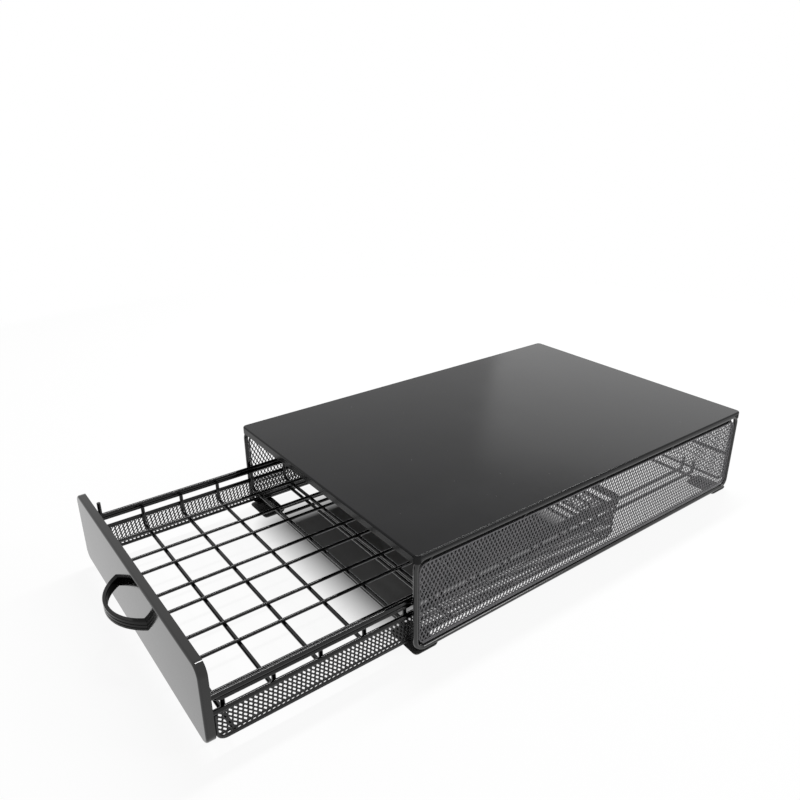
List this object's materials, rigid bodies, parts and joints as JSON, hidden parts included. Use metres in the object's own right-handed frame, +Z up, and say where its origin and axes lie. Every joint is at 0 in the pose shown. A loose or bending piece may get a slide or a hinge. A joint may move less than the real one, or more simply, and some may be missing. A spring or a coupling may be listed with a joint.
{
  "type": "coffee pod drawer",
  "caption": "Low black steel cabinet with expanded-metal sides and a flat deck, and a wire drawer that slides out of the front to hold rows of coffee pods.",
  "frame": {"origin": "on the table, at the middle of the whole object's footprint with the drawer open as it rests", "axes": "+X to the right seen from the front, +Y from the front to the back, +Z up; the drawer slides on Y"},
  "size_m": [0.296, 0.636, 0.096],
  "materials": {
    "deck_paint": "satin black powder coat",
    "panel_paint": "gloss black enamel on pressed sheet",
    "handle_paint": "gloss black enamel on flat bar",
    "wire_paint": "gloss black enamel over drawn wire",
    "mesh_paint": "satin black enamel over expanded metal",
    "pad_rubber": "matt moulded rubber",
    "screw_steel": "zinc-plated steel"
  },
  "bodies": {
    "cabinet": {"back_bar": "wire_paint", "back_border": "wire_paint", "back_mesh": "mesh_paint", "floor_crossbar_front": "wire_paint", "floor_crossbar_rear": "wire_paint", "foot_front_left": "pad_rubber", "foot_front_right": "pad_rubber", "foot_rear_left": "pad_rubber", "foot_rear_right": "pad_rubber", "runner_1": "wire_paint", "runner_2": "wire_paint", "runner_3": "wire_paint", "runner_4": "wire_paint", "side_border_left": "wire_paint", "side_border_right": "wire_paint", "side_frame_left": "wire_paint", "side_frame_right": "wire_paint", "side_mesh_left": "mesh_paint", "side_mesh_right": "mesh_paint", "side_ties_left": "wire_paint", "side_ties_right": "wire_paint", "top_crossbar_1": "wire_paint", "top_crossbar_2": "wire_paint", "top_crossbar_3": "wire_paint", "top_crossbar_4": "wire_paint", "top_crossbar_5": "wire_paint", "top_rail_left": "wire_paint", "top_rail_right": "wire_paint", "top_sheet": "deck_paint"},
    "drawer": {"band_border_left": "wire_paint", "band_border_rear": "wire_paint", "band_border_right": "wire_paint", "band_mesh_left": "mesh_paint", "band_mesh_rear": "mesh_paint", "band_mesh_right": "mesh_paint", "cradle_1": "wire_paint", "cradle_10": "wire_paint", "cradle_11": "wire_paint", "cradle_2": "wire_paint", "cradle_3": "wire_paint", "cradle_4": "wire_paint", "cradle_5": "wire_paint", "cradle_6": "wire_paint", "cradle_7": "wire_paint", "cradle_8": "wire_paint", "cradle_9": "wire_paint", "floor_wire_1": "wire_paint", "floor_wire_2": "wire_paint", "floor_wire_3": "wire_paint", "front_panel": "panel_paint", "handle": "handle_paint", "handle_screws": "screw_steel", "lane_wire_1": "wire_paint", "lane_wire_2": "wire_paint", "lane_wire_3": "wire_paint", "lane_wire_4": "wire_paint", "lower_rail": "wire_paint", "rack_frame": "wire_paint", "rim_wire": "wire_paint"}
  },
  "joints": [
    {"name": "drawer_slide", "type": "slide", "parent": "cabinet", "child": "drawer", "axis": [0, -1, 0], "range_m": [-0.171, 0.125]}
  ]
}
